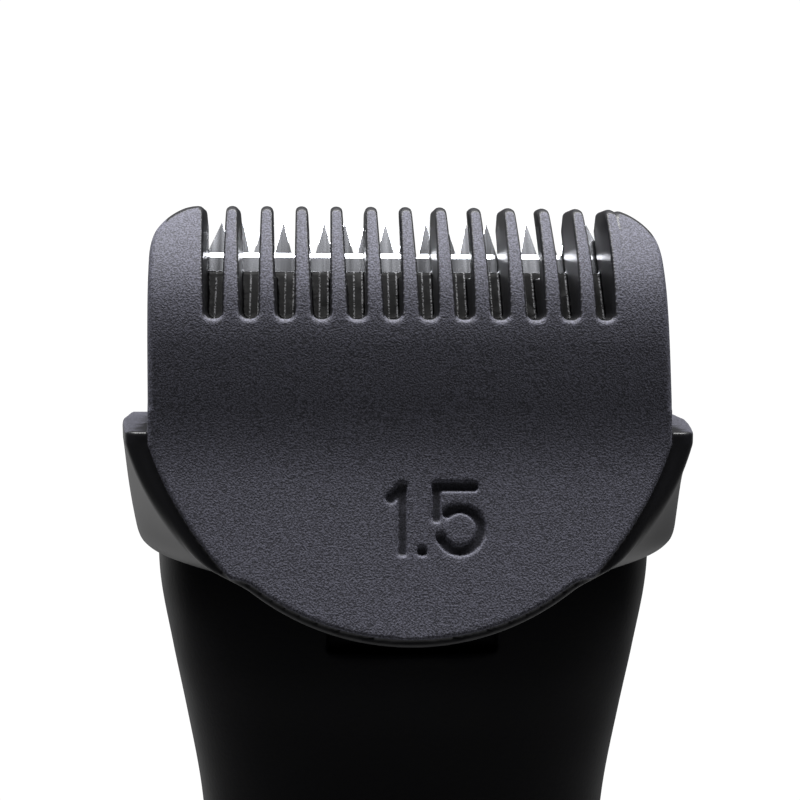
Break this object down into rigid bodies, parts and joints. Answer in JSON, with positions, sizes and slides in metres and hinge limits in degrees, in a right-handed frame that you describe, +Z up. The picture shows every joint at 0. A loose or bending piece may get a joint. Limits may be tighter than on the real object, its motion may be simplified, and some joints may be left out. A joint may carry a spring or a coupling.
{
  "type": "hair clipper",
  "caption": "Upright cordless hair clipper with a toothed steel blade set, a clip-on length comb with side wings, a waisted grip and a rear push button.",
  "frame": {"origin": "centre of the bounding box at the base, on the surface that the clipper stands on", "axes": "+Z up along the grip to the comb's teeth; -Y is the comb's face; +Y is the power button's side; +X is to the right when looking at the comb"},
  "size_m": [0.0512, 0.0402, 0.17],
  "materials": {
    "comb_plastic": "fine spark-eroded texture",
    "shell_plastic": "smooth satin soft-touch",
    "trim_plastic": "smooth satin",
    "blade_steel": "ground",
    "screw_steel": "satin",
    "copper": "satin",
    "nylon": "matte",
    "head_plastic": "matte",
    "motor_steel": "satin",
    "magnet": "matte",
    "cell_sleeve": "gloss",
    "board": "satin",
    "light": "clear",
    "lead_red": "satin",
    "lead_black": "satin"
  },
  "bodies": {
    "housing": {"front_cover": "shell_plastic", "rear_cover": "shell_plastic", "base_cap": "trim_plastic", "housing_screw_lower_left": "screw_steel", "housing_screw_lower_right": "screw_steel", "housing_screw_upper_left": "screw_steel", "housing_screw_upper_right": "screw_steel", "charging_socket": "trim_plastic", "circuit_board": "board", "switch_body": "screw_steel", "status_light": "light", "light_pipe": "light", "battery_cell": "cell_sleeve", "battery_tray": "nylon", "battery_tab_lower": "motor_steel", "battery_tab_upper": "motor_steel", "motor_can": "motor_steel", "motor_bearing": "copper", "motor_end_cap": "trim_plastic", "motor_magnet_left": "magnet", "motor_magnet_right": "magnet", "motor_mount": "head_plastic", "motor_lead_positive": "lead_red", "motor_lead_negative": "lead_black", "battery_lead_positive": "lead_red", "battery_lead_negative": "lead_black", "fixed_blade": "blade_steel", "blade_spring": "screw_steel", "blade_screw_left": "screw_steel", "blade_screw_right": "screw_steel", "head_frame": "head_plastic"},
    "comb": {"comb": "comb_plastic"},
    "cutter": {"moving_blade": "blade_steel", "cutter_carriage": "nylon"},
    "rotor": {"motor_shaft": "motor_steel", "motor_armature": "copper", "motor_commutator": "copper", "eccentric_cam": "nylon"},
    "button": {"power_button": "trim_plastic", "switch_plunger": "trim_plastic"}
  },
  "joints": [
    {"name": "comb_slide", "type": "slide", "parent": "housing", "child": "comb", "axis": [0, 0, 1], "range_m": [0, 0.042]},
    {"name": "cutter_slide", "type": "slide", "parent": "housing", "child": "cutter", "axis": [1, 0, 0], "range_m": [-0.0011, 0.0011]},
    {"name": "motor_spin", "type": "hinge", "parent": "housing", "child": "rotor", "pos_m": [0, 0.0017, 0.117], "axis": [0, 0, 1], "continuous": true},
    {"name": "power_button", "type": "slide", "parent": "housing", "child": "button", "axis": [0, -1, 0], "range_m": [0, 0.0005], "stiffness_N_per_m": 200}
  ]
}
